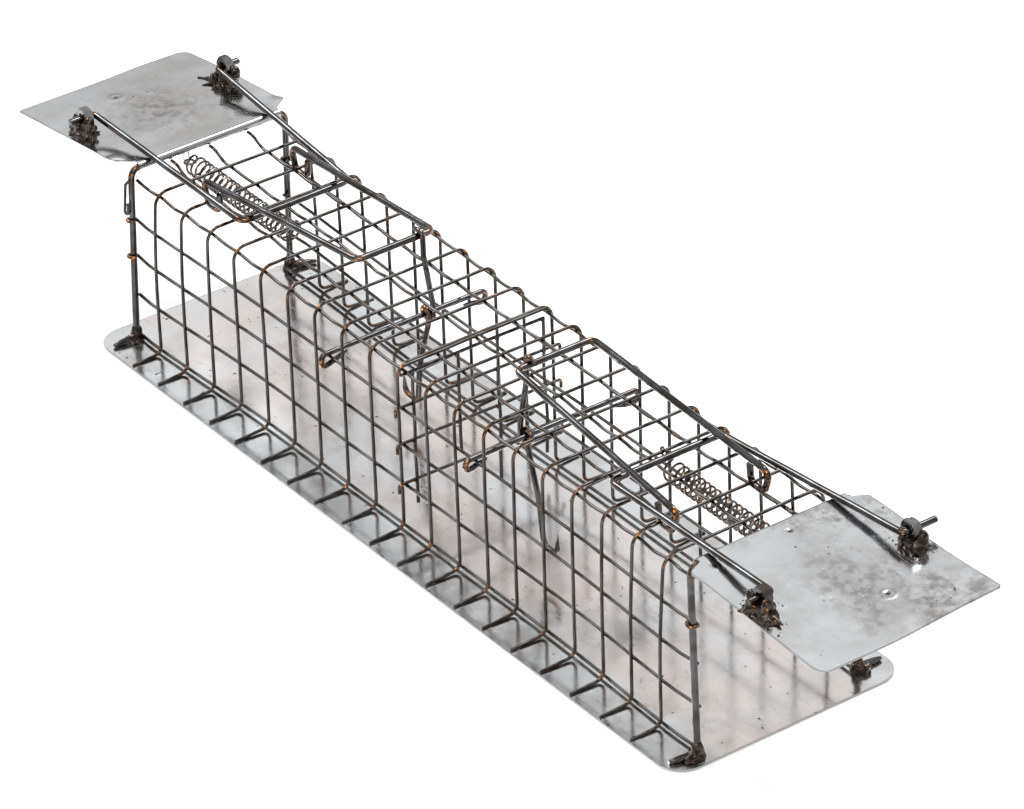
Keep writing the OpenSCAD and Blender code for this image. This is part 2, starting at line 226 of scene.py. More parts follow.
# The last colour is the dark of pits and cut edges, and also a painted shade on the doors' rolled curls.
PIT_AND_SHADE = (0.03, 0.025, 0.02)


def wire_material(name, clean, tarnished, rust, smoothest, glint=0.7):
    """Drawn wire: patchy tarnish, specks of rust, an uneven surface, and painted orange glints at its
    bends.
    """
    made, tree, shader, place = new_metal(name)
    tarnish = levels(tree, cloud(tree, place, 14 * MM, 4), 0.38, 0.62)
    colour = mixed(tree, tarnish, clean, tarnished)
    specks = levels(tree, cloud(tree, place, 1.6 * MM, 3, 0.7), 0.62, 0.72)
    patches = levels(tree, cloud(tree, place, 22 * MM, 2), 0.5, 0.66)
    colour = mixed(tree, product(tree, specks, patches), colour, rust)
    # Painted highlights: orange glints painted in spots where the wire bends sharply, standing in for warm
    # reflections.
    bend = painted(tree, "bend")
    glint_spots = levels(tree, cloud(tree, place, 1.3 * MM, 2), 0.5, 0.62)
    colour = mixed(tree, product(tree, product(tree, bend, glint_spots), glint), colour, BEND_GLINT)
    tree.links.new(colour, shader.inputs["Base Color"])
    wear = cloud(tree, place, 3 * MM, 4)
    rough = levels(tree, wear, 0.35, 0.75, smoothest, smoothest + 0.11)
    tree.links.new(rough, shader.inputs["Roughness"])
    grain = bumped(tree, cloud(tree, place, 0.5 * MM, 3), 0.04 * MM, 0.2)
    tree.links.new(bumped(tree, wear, 0.12 * MM, 0.2, grain), shader.inputs["Normal"])
    return made


def sheet_material(name, clean, smudged, stained, smoothest, reflection_half=0.0):
    """Bright sheet: smudges, stains, fine scratches both ways, pits, and dark specks of spatter.

    It is stained where the mesh says rub, and dark where its mark attribute says so: at pits, along cut
    edges, and as a painted shade on the doors' rolled curls. The last argument is half the width of the
    strip down its middle that gets a painted warm reflection.
    """
    made, tree, shader, place = new_metal(name)
    smudge = levels(tree, cloud(tree, place, 38 * MM, 5, 0.6), 0.4, 0.66)
    colour = mixed(tree, smudge, clean, smudged)
    stain = levels(tree, cloud(tree, place, 60 * MM, 3, 0.55), 0.52, 0.7)
    mottle = levels(tree, cloud(tree, place, 5 * MM, 4, 0.65), 0.35, 0.7)
    colour = mixed(tree, product(tree, stain, mottle), colour, stained)
    rub = painted(tree, "rub")
    worn = product(tree, rub, levels(tree, mottle, 0.0, 1.0, 0.45, 1.0))
    colour = mixed(tree, worn, colour, stained)
    fine = levels(tree, cloud(tree, place, 0.9 * MM, 3, 0.7), 0.55, 0.75, 0.0, 0.35)
    colour = mixed(tree, product(tree, fine, smudge), colour, stained)
    # A painted warm reflection: a warmer strip down the sheet's middle, inside the cage's walls.
    if reflection_half:
        across = shader_node(tree, "ShaderNodeSeparateXYZ", {"Vector": place}).outputs["Y"]
        across = shader_node(tree, "ShaderNodeMath", {0: across}, operation="ABSOLUTE").outputs[0]
        inside = levels(tree, across, reflection_half - 5 * MM, reflection_half + 2 * MM, 0.75, 0.0)
        warm = product(tree, inside, levels(tree, cloud(tree, place, 50 * MM, 3), 0.3, 0.65))
        colour = mixed(tree, warm, colour, PAINTED_WARM_REFLECTION)
    specks = levels(tree, cloud(tree, place, 2.6 * MM, 1, 0.4), 0.76, 0.79)
    colour = mixed(tree, specks, colour, SPATTER)
    # Dark where the mesh's mark attribute is: pits and cut edges, and a painted shade on the doors' curls.
    colour = mixed(tree, painted(tree, "mark_and_shade"), colour, PIT_AND_SHADE)
    scratches = [
        levels(tree, cloud(tree, place, 0.5 * MM, 2, 0.5, (60, 1, 1), turn), 0.62, 0.72)
        for turn in (0.35, -0.9)
    ]
    sparse = levels(tree, cloud(tree, place, 24 * MM, 2), 0.45, 0.6)
    for lines in scratches:
        colour = mixed(tree, product(tree, product(tree, lines, sparse), 0.35), colour, smudged)
    tree.links.new(colour, shader.inputs["Base Color"])
    haze = cloud(tree, place, 11 * MM, 5, 0.6)
    rough = levels(tree, haze, 0.3, 0.72, smoothest, smoothest + 0.07)
    tree.links.new(rough, shader.inputs["Roughness"])
    pits = bumped(tree, cloud(tree, place, 1.1 * MM, 4, 0.6), 0.04 * MM, 0.25)
    dents = bumped(tree, cloud(tree, place, 9 * MM, 2), 0.25 * MM, 0.22, pits)
    scored = bumped(tree, scratches[0], -0.03 * MM, 0.5, dents)
    tree.links.new(scored, shader.inputs["Normal"])
    return made


def weld_material(name):
    """Weld metal: black brown scale with bare and rust-coloured patches, rough all over."""
    made, tree, shader, place = new_metal(name, 0.85)
    scale = levels(tree, cloud(tree, place, 2.6 * MM, 3, 0.6), 0.42, 0.66)
    colour = mixed(tree, scale, (0.02, 0.014, 0.011), (0.10, 0.077, 0.064))
    rust = levels(tree, cloud(tree, place, 2.4 * MM, 2, 0.5), 0.67, 0.76)
    colour = mixed(tree, rust, colour, (0.50, 0.18, 0.035))
    tree.links.new(colour, shader.inputs["Base Color"])
    rough = cloud(tree, place, 1.2 * MM, 4, 0.7)
    tree.links.new(levels(tree, rough, 0.3, 0.7, 0.09, 0.27), shader.inputs["Roughness"])
    tree.links.new(bumped(tree, rough, 0.25 * MM, 0.35), shader.inputs["Normal"])
    return made


# Wires: the clean, tarnished and rusty colours, the roughness where smoothest, and how strong the painted
# glints at bends are
MESH_STEEL = wire_material(
    "mesh_steel", (0.078, 0.073, 0.07), (0.042, 0.034, 0.028), (0.20, 0.08, 0.03), 0.09,
)
FRAME_STEEL = wire_material(
    "frame_steel", (0.10, 0.10, 0.104), (0.052, 0.046, 0.041), (0.22, 0.09, 0.03), 0.07,
)
SPRING_STEEL = wire_material(
    "spring_steel", (0.13, 0.125, 0.12), (0.065, 0.056, 0.046), (0.30, 0.12, 0.04), 0.15, 0.25,
)
NUT_STEEL = wire_material(
    "nut_steel", (0.23, 0.23, 0.235), (0.085, 0.07, 0.06), (0.20, 0.09, 0.04), 0.16,
)
# Sheets: the clean, smudged and stained colours, the roughness where smoothest, and for the base sheet the
# half width of its painted warm reflection
BASE_SHEET = sheet_material(
    "base_sheet", (0.80, 0.83, 0.85), (0.62, 0.61, 0.60), (0.60, 0.53, 0.49), 0.12, 38 * MM,
)
DOOR_SHEET_METAL = sheet_material(
    "door_sheet_metal", (0.70, 0.72, 0.735), (0.58, 0.58, 0.575), (0.28, 0.256, 0.238), 0.12,
)
WELD_METAL = weld_material("weld_metal")


# ---- Pieces ----


def piece(name, mesh, body, slot, material, *nodes):
    """A finished piece that rides on a body and stands for the CAD nodes named."""
    made = bpy.data.objects.new(name, mesh)
    bpy.context.scene.collection.objects.link(made)
    mesh.materials.clear()
    mesh.materials.append(material)
    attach(made, body)
    if nodes:
        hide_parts(*nodes)
    return made


# The most that a wire turns from one ring of its mesh to the next
MOST_TURN = math.radians(10)


def rounded_path(points, bends, step):
    """Points along a wire that runs straight between the given ones and turns on an arc at each."""
    points = [Vector(p) for p in points]
    last = len(points) - 1
    if not isinstance(bends, (list, tuple)):
        bends = [bends] * (last - 1)
    out = [points[0]]
    for i in range(1, last + 1):
        if i == last:
            end = points[i]
        else:
            before = (points[i] - points[i - 1]).normalized()
            after = (points[i + 1] - points[i]).normalized()
            angle = before.angle(after)
            bend = bends[i - 1]
            end = points[i] - before * bend * math.tan(angle / 2)
        start = out[-1]
        pieces = max(1, round((end - start).length / step))
        out.extend(start.lerp(end, k / pieces) for k in range(1, pieces + 1))
        if i < last:
            axis = before.cross(after).normalized()
            centre = end + axis.cross(before) * bend
            turns = max(3, math.ceil(angle / MOST_TURN))
            spoke = end - centre
            for k in range(1, turns + 1):
                out.append(centre + Matrix.Rotation(angle * k / turns, 3, axis) @ spoke)
    return out


def sway(p, amount=0.45 * MM):
    """How far the hand-made cage stands off true at p. Neighbouring wires stand off together."""
    return noise.noise_vector(p / (70 * MM)) * amount


def wander(path, name, amount):
    """The path with a slow wander of its own, none at its ends."""
    shift = Vector([random.Random(name).uniform(0, 50) for _ in range(3)])
    last = len(path) - 1
    return [
        p + noise.noise_vector(p / (22 * MM) + shift) * amount * min(1, 3 * i / last, 3 * (last - i) / last)
        for i, p in enumerate(path)
    ]


def tube(path, diameter, sides=12, tip=None, start_tip=None):
    """A mesh tube along the path, which carries how sharply it bends, from 0 to 1.

    A tip is (length, end share of the diameter), for a drawn point.
    """
    made = bmesh.new()
    lengths = [0.0]
    for a, b in zip(path, path[1:]):
        lengths.append(lengths[-1] + (b - a).length)
    whole = lengths[-1]

    def radius(s):
        share = 1.0
        if tip and whole - s < tip[0]:
            share = tip[1] + (1 - tip[1]) * (whole - s) / tip[0]
        if start_tip and s < start_tip[0]:
            share = min(share, start_tip[1] + (1 - start_tip[1]) * s / start_tip[0])
        return diameter / 2 * share

    edge = 0.12
    bend = made.verts.layers.float.new("bend")
    tangents = []
    for i in range(len(path)):
        tangents.append((path[min(i + 1, len(path) - 1)] - path[max(i - 1, 0)]).normalized())
    normal = tangents[0].orthogonal().normalized()
    rings = []

    def ring(centre, tangent, r, curve):
        side = tangent.cross(normal).normalized()
        rings.append([
            made.verts.new(centre + (normal * math.cos(a) + side * math.sin(a)) * r)
            for a in (2 * math.pi * k / sides for k in range(sides))
        ])
        for vert in rings[-1]:
            vert[bend] = curve

    for i, (p, t) in enumerate(zip(path, tangents)):
        near = tangents[max(i - 2, 0)], tangents[min(i + 2, len(path) - 1)]
        reach = lengths[min(i + 2, len(path) - 1)] - lengths[max(i - 2, 0)]
        curve = min(1.0, near[0].angle(near[1]) / reach * 4 * MM)
        normal = (normal - t * normal.dot(t)).normalized()
        r = radius(lengths[i])
        if i == 0:
            ring(p, t, r * (1 - edge), curve)
            p = p + t * r * edge
        if i == len(path) - 1:
            ring(p - t * r * edge, t, r, curve)
            r *= 1 - edge
        ring(p, t, r, curve)
    for a, b in zip(rings, rings[1:]):
        for k in range(sides):
            made.faces.new((a[k], a[(k + 1) % sides], b[(k + 1) % sides], b[k]))
    made.faces.new(list(reversed(rings[0])))
    made.faces.new(rings[-1])
    for f in made.faces:
        f.smooth = len(f.verts) == 4
    return made


def sheet_faces(made, rows):
    for a, b in zip(rows, rows[1:]):
        for k in range(len(a) - 1):
            made.faces.new((a[k], a[k + 1], b[k + 1], b[k]))


def modified(made, *stages):
    """The bmesh after modifiers, each a (type, settings) pair, have been applied to it."""
    mesh = bpy.data.meshes.new("spare")
    made.to_mesh(mesh)
    made.free()
    thing = bpy.data.objects.new("spare", mesh)
    bpy.context.scene.collection.objects.link(thing)
    for kind, settings in stages:
        modifier = thing.modifiers.new("shape", kind)
        for key, value in settings.items():
            setattr(modifier, key, value)
    result = bmesh.new()
    result.from_object(thing, bpy.context.evaluated_depsgraph_get())
    bpy.data.objects.remove(thing)
    bpy.data.meshes.remove(mesh)
    return result


def joined(parts):
    """One bmesh made of several, which are used up."""
    whole = bmesh.new()
    for part in parts:
        spare = bpy.data.meshes.new("spare")
        part.to_mesh(spare)
        part.free()
        whole.from_mesh(spare)
        bpy.data.meshes.remove(spare)
    return whole


def finished(name, made, sharp=math.radians(40)):
    bmesh.ops.recalc_face_normals(made, faces=made.faces)
    mesh = bpy.data.meshes.new(name)
    made.to_mesh(mesh)
    made.free()
    mesh.shade_smooth()
    mesh.set_sharp_from_angle(angle=sharp)
    return mesh


def cage_wire(name, points, bends, wander_by, step=5 * MM):
    path = rounded_path(points, bends, step)
    return tube([p + sway(p) for p in wander(path, name, wander_by)], mesh_wire)


def wire_piece(name, mesh_name, parts, *nodes):
    """A piece made of thin mesh wires, which stays with the cage."""
    piece(name, finished(mesh_name, joined(parts)), "cage", "mesh_wire", MESH_STEEL, *nodes)


def weld_piece(name, mesh_name, made, body, *nodes):
    """A piece of weld metal, on which only the sharpest creases stay sharp."""
    mesh = finished(mesh_name, made, math.radians(80))
    piece(name, mesh, body, "weld_bead", WELD_METAL, *nodes)


def ripple(x, y, z, size):
    """Noise from -1 to 1 whose features are about size across."""
    return noise.noise(Vector((x, y, z)) / size)


def hoop(x, half, top, foot_y, foot_z, heel_z):
    """An inverted U across the cage. Its feet slope down from the heel to the plate."""
    return [
        (x, -foot_y, foot_z), (x, -half, heel_z), (x, -half, top),
        (x, half, top), (x, half, heel_z), (x, foot_y, foot_z),
    ]


# ---- Cage ----

HEEL_RISE = 0.9 * MM


def smooth(value, low, high):
    share = min(1.0, max(0.0, (value - low) / (high - low)))
    return share * share * (3 - 2 * share)


def leg_lean(z):
    """0 at the top of a door frame's leg, 1 at its foot."""
    return (hinge.z - z) / (hinge.z - floor_z)


def splayed(x, wall):
    """True at the two opposite corners where the frame's foot stands further out."""
    return x * wall < 0


def bulged(p):
    """The cage's walls lean out towards the door frames' legs. The arches' feet stay put."""
    share = smooth(abs(p.x), 95 * MM, hinge.x) * smooth(abs(p.y), 20 * MM, 36 * MM)
    share *= 1 - smooth(abs(p.y), 45 * MM, 55 * MM)
    lean = leg_lean(p.z)
    belly = 1.2 * MM * math.sin(math.pi * min(1, max(0, lean)))
    out = share * (FOOT_LEAN * lean + belly)
    return Vector((p.x, p.y + math.copysign(out, p.y), p.z))


def make_arches():
    for name in ARCHES:
        low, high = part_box(name)
        x = (low.x + high.x) / 2
        foot_z = low.z + mesh_wire / 2
        points = hoop(x, ARCH_HALF, arch_top, high.y - 0.2 * MM, foot_z, foot_z + HEEL_RISE)
        path = rounded_path(points, [4 * MM, 6 * MM, 6 * MM, 4 * MM], 5 * MM)
        path = [bulged(p + sway(p)) for p in wander(path, name, 0.12 * MM)]
        wire_piece(f"wire_{name}", name, [tube(path, mesh_wire)], name)


def make_foot_tips():
    """The dark flattened tips of the arches' feet, where each one is welded down."""
    parts = []
    for name in ARCHES:
        low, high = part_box(name)
        for wall in WALLS:
            chance = random.Random(f"{name}{wall}")
            place = Vector(((low.x + high.x) / 2, wall * (high.y - 3.2 * MM), floor_z + 0.35 * MM))
            radii = Vector((0.9, 2.6 * chance.uniform(0.7, 1.2), 0.7)) * MM
            parts.append(blob(place, radii, 2))
            if chance.random() < 0.35:
                for _ in range(3):
                    shift = Vector((
                        chance.uniform(-1, 1), chance.uniform(-1, 4) * -wall, chance.uniform(0.2, 0.9),
                    ))
                    parts.append(blob(place + shift * MM, Vector((0.5, 0.8, 0.45)) * MM, 1))
    made = roughened(joined(parts), 0.12 * MM, 0.7 * MM)
    piece("foot_tips", finished("foot_tips", made), "cage", "weld_bead", WELD_METAL)


def make_roof_wires():
    """Five long wires that sag a little between the arches. Their ends rise to the door frames."""
    parts = []
    end_x = hinge.x - 0.5 * MM
    under_bar = hinge.z - CURL_RADIUS - DOOR_SHEET / 2 - mesh_wire / 2 - 0.4 * MM
    under = roof_high.z - mesh_wire / 2
    rows = [(-corner_y, roof_low.z + mesh_wire / 2), (corner_y, roof_low.z + mesh_wire / 2)]
    rows += [(i * pitch, under) for i in (-1, 0, 1)]
    for row, (y, z) in enumerate(rows):
        count = round(2 * end_x / (2.5 * MM))
        path = []
        for i in range(count + 1):
            x = -end_x + 2 * end_x * i / count
            sag = 0.5 - 0.5 * math.cos(2 * math.pi * x / pitch)
            deep = 0.5 + 0.5 * noise.noise(Vector((x / (50 * MM), row * 7.3, 0)))
            point = Vector((x, y, z - sag * deep * 1.5 * MM))
            turned_up = smooth(abs(x), hinge.x - 14 * MM, hinge.x - 3 * MM)
            if abs(y) < corner_y:
                point.z += (under_bar - point.z) * turned_up
            else:
                point += Vector((0, math.copysign(1.2, y), 1.5)) * MM * turned_up
            path.append(point)
        path = [p + sway(p) for p in path]
        parts.append(tube(path, mesh_wire))
    wire_piece("wires_roof", "wires_roof", parts, "roof_wires")


def leg_at(side, wall, z):
    """A point on the axis of a door frame's leg. The wall is -1 or 1, as the world has it."""
    lean = leg_lean(z)
    x = hinge.x if side == "right" else -hinge.x
    out = FOOT_SPLAY * lean if splayed(x, wall) else 0
    return Vector((x + math.copysign(out, x), wall * (PORTAL_HALF + FOOT_LEAN * lean), z))


# Which side wires, counted from the lowest, are wrapped round the leg at each corner
WRAPPED = {("right", -1): (3,), ("left", -1): (2, 3), ("right", 1): (1,), ("left", 1): (3,)}


def make_side_wires():
    """Four long wires on each wall. Most end against a door frame's leg, a few are wrapped round it."""
    nodes = {-1: "side_wires_front", 1: "side_wires_rear"}
    wrap_radius = (frame_wire + mesh_wire) / 2
    wrap, wrap_steps, climb, spans = math.radians(270), 20, 1.1 * MM, 80
    for wall, node in nodes.items():
        parts = []
        for i, h in enumerate(SIDE_WIRE_HEIGHTS):
            z = floor_z + h
            middle_y = LOW_WIRE_Y if i == 0 else INNER_Y
            ends = []
            for side in SIDES:
                leg = leg_at(side, wall, z)
                towards = 1 if side == "right" else -1
                start = leg - Vector((0, wall * (wrap_radius + 0.05 * MM), 0))
                path = [start]
                if i in WRAPPED[side, wall]:
                    for k in range(1, wrap_steps + 1):
                        a = wrap * k / wrap_steps
                        turn = Vector((towards * math.sin(a), -wall * math.cos(a), 0)) * wrap_radius
                        path.append(leg + turn + UP * climb * k / wrap_steps)
                ends.append(path)
            left, right = ends
            span = [left[0].lerp(right[0], k / spans) for k in range(1, spans)]
            span = [bulged(Vector((p.x, wall * middle_y, p.z))) for p in span]
            span = [p for p in span if abs(p.x) < hinge.x - 6 * MM]
            path = list(reversed(left)) + span + right
            path = [p + sway(p) for p in wander(path, f"{node}{h}", 0.1 * MM)]
            parts.append(tube(path, mesh_wire))
        wire_piece(f"wires_{node}", node, parts, node)


def make_portals():
    foot_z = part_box("portal_right")[0].z + frame_wire / 2
    reach = 55.5 * MM
    tip = (5 * MM, 0.55)
    for side in SIDES:
        node = f"portal_{side}"
        points = [
            (hinge.x + FOOT_SPLAY - FOOT_TOE_IN, -reach, foot_z),
            (hinge.x + FOOT_SPLAY, -PORTAL_HALF - FOOT_LEAN, foot_z + HEEL_RISE),
            (hinge.x, -PORTAL_HALF, hinge.z),
            (hinge.x, PORTAL_HALF, hinge.z),
            (hinge.x, PORTAL_HALF + FOOT_LEAN, foot_z + HEEL_RISE),
            (hinge.x, reach, foot_z),
        ]
        path = rounded_path([on_side(side, p) for p in points], 5 * MM, 5 * MM)
        path = wander(path, node, 0.15 * MM)
        made = tube(path, frame_wire, 20, tip, tip)
        piece(f"frame_{side}", finished(node, made), "cage", "frame_wire", FRAME_STEEL, node)


def make_leg_loop():
    """A thin wire's end, folded up against the outside of one leg of the left door frame."""
    top, foot = (leg_at("left", -1, hinge.z - drop * MM) for drop in (6, 21))
    out = mm(-0.4, -2.5, 0)
    points = [
        top + mm(1.2, -1.2, 1.5), top + out + mm(0, -0.4, -1),
        foot + out + mm(-0.9, -0.6, 0), foot + out + mm(1.4, -0.3, -0.8),
        foot + out + mm(1.3, 0, 5),
    ]
    made = tube(rounded_path(points, [1.2 * MM, 1.3 * MM, 1.0 * MM], 2 * MM), mesh_wire * 0.9)
    wire_piece("leg_loop", "leg_loop", [made])


# The wires that hang from the hairpin: how far across each is, and how high it ends, in mm
DROPS = ((-34, 14), (-11, 30), (9, 9), (23, 20), (33, 12))


def make_partition():
    """The hairpin and three bars across the cage, and the wires that hang from the hairpin."""
    x, flat = PARTITION_X, ARCH_HALF - 6 * MM
    hairpin = [
        (x, flat + 3 * MM, arch_top), (x, -ARCH_HALF, arch_top),
        (x, -ARCH_HALF, arch_top - HAIRPIN_DEPTH), (x, flat, arch_top - HAIRPIN_DEPTH),
    ]
    parts = [cage_wire("hairpin", hairpin, 2.1 * MM, 0.5 * MM, 3 * MM)]
    heights = [floor_z + h + mesh_wire - 0.02 * MM for h in SIDE_WIRE_HEIGHTS[1:]]
    reach = ARCH_HALF + 2.6 * MM
    for z in heights:
        points = [(x, -reach, z - 4 * MM), (x, -reach, z), (x, reach, z), (x, reach, z - 4 * MM)]
        parts.append(cage_wire(f"bar{z}", points, 1.6 * MM, 0.25 * MM))
    wire_piece("partition_bars_wire", "partition_bars", parts, "partition_bars")
    parts, tacks = [], []
    drop_x = x + mesh_wire - 0.02 * MM
    top = arch_top - HAIRPIN_DEPTH + mesh_wire
    for place, end in DROPS:
        y = place * MM
        points = [(drop_x, y, top), (drop_x + 0.2 * MM, y, end * MM)]
        parts.append(cage_wire(f"drop{place}", points, 0, 0.9 * MM, 4 * MM))
        for z in [arch_top - HAIRPIN_DEPTH] + [h for h in heights if h > end * MM]:
            chance = random.Random(f"{place}{z}")
            spot = Vector((x + 0.75 * MM, y + chance.uniform(-0.5, 0.5) * MM, z))
            radii = Vector((1.3, 1.2, 1.1)) * MM * chance.uniform(0.7, 1.05)
            tacks.append(blob(spot + sway(spot), radii, 2))
    tacks = roughened(joined(tacks), 0.25 * MM, 0.9 * MM)
    wire_piece("partition_drop_wires", "partition_drops", parts, "partition_drops")
    piece("partition_tacks", finished("partition_tacks", tacks), "cage", "weld_bead", WELD_METAL)


def make_base_plate():
    """The base sheet, with rounded corners, slightly wavy as thin sheet is."""
    r, cells = 12 * MM, 6
    half_x, half_y = plate_high.x, plate_high.y

    def stations(half):
        flat = half - r
        count = round(2 * flat / (3.5 * MM))
        inside = [-flat + 2 * flat * i / count for i in range(count + 1)]
        edge = [flat + r * i / cells for i in range(1, cells)] + [half - 0.6 * MM, half]
        return [-v for v in reversed(edge)] + inside + edge

    def cornered(x, y):
        u, v = (abs(x) - (half_x - r)) / r, (abs(y) - (half_y - r)) / r
        if u <= 0 or v <= 0:
            return x, y
        return (
            math.copysign(half_x - r + r * u * math.sqrt(1 - v * v / 2), x),
            math.copysign(half_y - r + r * v * math.sqrt(1 - u * u / 2), y),
        )

    made = bmesh.new()
    mark_and_shade = made.verts.layers.float.new("mark_and_shade")
    rows = []
    for sx in stations(half_x):
        row = []
        for sy in stations(half_y):
            x, y = cornered(sx, sy)
            wave = ripple(x, y, 0, 60 * MM) * 0.14 + ripple(x, y, 9, 21 * MM) * 0.05
            vert = made.verts.new((x, y, floor_z + (0.02 + wave) * MM))
            vert[mark_and_shade] = CUT_EDGE * 0.7 if abs(sx) == half_x or abs(sy) == half_y else 0.0
            row.append(vert)
        rows.append(row)
    sheet_faces(made, rows)
    made = modified(made, ("SOLIDIFY", {"thickness": 0.4 * MM, "offset": -1.0}))
    piece("base_sheet", finished("base_sheet", made), "cage", "galvanised_base", BASE_SHEET, "base_plate")


# ---- Doors ----


def door_place(side):
    """From a door's own frame, at its hinge with x out along the sheet, to the world."""
    turn = Matrix.Rotation(OPEN_SLOPE[side], 4, "Y")
    half_turn = Matrix.Rotation(0 if side == "right" else math.pi, 4, "Z")
    return half_turn @ Matrix.Translation(hinge) @ turn


# Pressed rings and punched dots on each door, in mm: how far out, across, ring radius, height, pit
DOOR_MARKS = {
    "right": [
        (61, 8.5, 2.9, 0.42, 0.8), (7.5, -34, 2.1, 0.25, 0.3),
        (6.5, 3.8, 0.9, -0.3, 0.8), (13, -11.4, 1.6, 0.1, 0.0),
    ],
    "left": [(65, 6.4, 2.7, 0.4, 0.7), (14, 0.8, 1.7, 0.16, 0.0), (9, 27, 1.0, 0.12, 0.2)],
}


# The worn patch on each door, in mm: how far out, across, and its half length and half width
DOOR_RUBS = {"right": (47, 2, 24, 17), "left": (40, 0, 26, 22)}

# How far a door's corners by its hinge are bent up, in mm, and the right door's far rear corner
HINGE_CORNER_RISE = {"left": 1.6, "right": -0.6}
FAR_CORNER_RISE = 3.2 * MM

# The left door's sheet stands out this far, clear of a wrapped side wire when it is shut
LEFT_CLEARANCE = 0.7 * MM


def door_dent(side, x, y):
    """How far the door's sheet stands off flat, and how dark a pit is, at a place on it."""
    fade = smooth(x, 3 * MM, 22 * MM)
    seed = 3.7 if side == "left" else 0.0
    rise = ripple(x, y, seed, 42 * MM) * 0.5 * MM * fade
    rise += ripple(x, y, seed + 1, 14 * MM) * 0.1 * MM * fade
    rise += ripple(x, y, seed + 2, 4 * MM) * 0.018 * MM
    dark = 0.0
    for out, across, ring, height, pit in DOOR_MARKS[side]:
        d = math.hypot(x - out * MM, y - across * MM) / MM
        rise += height * 0.6 * MM * math.exp(-(((d - ring) / 0.75) ** 2))
        rise -= pit * 0.35 * MM * math.exp(-((d / 0.8) ** 2))
        if pit:
            dark = max(dark, math.exp(-((d / (0.9 + 0.5 * pit)) ** 4)))
            dark = max(dark, 0.35 * math.exp(-(((d - ring) / 0.45) ** 2)))
    return rise, dark


def make_door(side):
    """The sheet, cut a little raggedly by its hinge and rolled round the frame's bar, with its fin."""
    step = 0.8 * MM
    curl_steps, curl_step = 20, 10.5
    place = door_place(side)
    made = bmesh.new()
    mark_and_shade = made.verts.layers.float.new("mark_and_shade")
    rub = made.verts.layers.float.new("rub")
    out, across, half_long, half_wide = (v * MM for v in DOOR_RUBS[side])
    profile = []
    count = round(DOOR_LENGTH / step)
    for i in range(count + 1):
        profile.append((DOOR_LENGTH * (1 - i / count), CURL_RADIUS, None))
    for k in range(1, curl_steps + 1):
        a = math.radians(90 + curl_step * k)
        profile.append((CURL_RADIUS * math.cos(a), CURL_RADIUS * math.sin(a), a))
    seed = 11.3 if side == "left" else 2.1

    def half_width(x, turned, sign):
        ragged = noise.noise(Vector((x / (2.2 * MM), sign * 4.0, seed + turned)))
        if turned:
            return CURL_HALF + ragged * 0.9 * MM
        wide = CURL_HALF + (DOOR_HALF - CURL_HALF) * smooth(x, 1.6 * MM, 5.4 * MM)
        wide += ragged * 1.1 * MM * (1 - smooth(x, 4 * MM, 8 * MM))
        wide += noise.noise(Vector((x / (9 * MM), sign * 9.0, seed))) * 0.15 * MM
        corner = DOOR_CORNERS[sign]
        short = x - (DOOR_LENGTH - corner)
        if short > 0:
            wide -= corner - math.sqrt(max(0, corner ** 2 - short ** 2)) * 0.95
        return wide

    rows = []
    columns = 2 * round(DOOR_HALF / step)
    for x, z, a in profile:
        low, high = (half_width(x, a or 0, sign) for sign in (-1, 1))
        row = []
        for k in range(columns + 1):
            y = -low + (low + high) * k / columns
            rise, dark = door_dent(side, x, y) if a is None else (0, 0)
            if a is None:
                corner = smooth(abs(y), CURL_HALF, DOOR_HALF) * (1 - smooth(x, 3 * MM, 16 * MM))
                rise += corner * HINGE_CORNER_RISE[side] * MM
                if side == "right":
                    rise += FAR_CORNER_RISE * smooth(x, 42 * MM, 92 * MM) * smooth(y, -15 * MM, 48 * MM)
                else:
                    rise += LEFT_CLEARANCE * smooth(x, 8 * MM, 24 * MM)
            vert = made.verts.new(place @ Vector((x, y, z + rise)))
            edge = k in (0, columns) or x == DOOR_LENGTH
            # Dark at pits and along cut edges; on the rolled curl 0.45 is a painted shade, toning down the
            # lamp's bright reflection there.
            vert[mark_and_shade] = max(dark, CUT_EDGE if edge else 0.0, 0.45 if a else 0.0)
            worn = math.exp(-(((x - out) / half_long) ** 2) - ((y - across) / half_wide) ** 2)
            vert[rub] = 0.0 if a else worn
            row.append(vert)
        rows.append(row)
    sheet_faces(made, rows)
    tab = spring_tab(place)
    whole = modified(joined([made, tab]), ("SOLIDIFY", {"thickness": DOOR_SHEET, "offset": 0.0}))
    node = f"door_{side}"
    mesh = finished(node, whole, math.radians(50))
    piece(f"door_sheet_{side}", mesh, f"{side}_door", "door_sheet", DOOR_SHEET_METAL, node)


def spring_tab(place):
    """The fin under the sheet that the spring pulls on, with its hole."""
    made = bmesh.new()
    made.verts.layers.float.new("mark_and_shade")
    made.verts.layers.float.new("rub")
    half, hole, count = 2.7 * MM, 1.3 * MM, 32
    rings = []
    for share in (0.0, 0.5, 1.0):
        row = []
        for k in range(count):
            a = 2 * math.pi * (k + 0.5) / count
            c, s = math.cos(a), math.sin(a)
            ray = Vector((c, 0, s))
            reach = half
            if s > 0:
                reach = min(half / max(abs(c), 1e-6), (CURL_RADIUS - SPRING_HOLE.z) / s)
            row.append(made.verts.new(place @ (SPRING_HOLE + ray * (hole + (reach - hole) * share))))
        rings.append(row)
    for a, b in zip(rings, rings[1:]):
        for k in range(count):
            made.faces.new((a[k], a[(k + 1) % count], b[(k + 1) % count], b[k]))
    return made


# ---- Lug nuts and welds ----


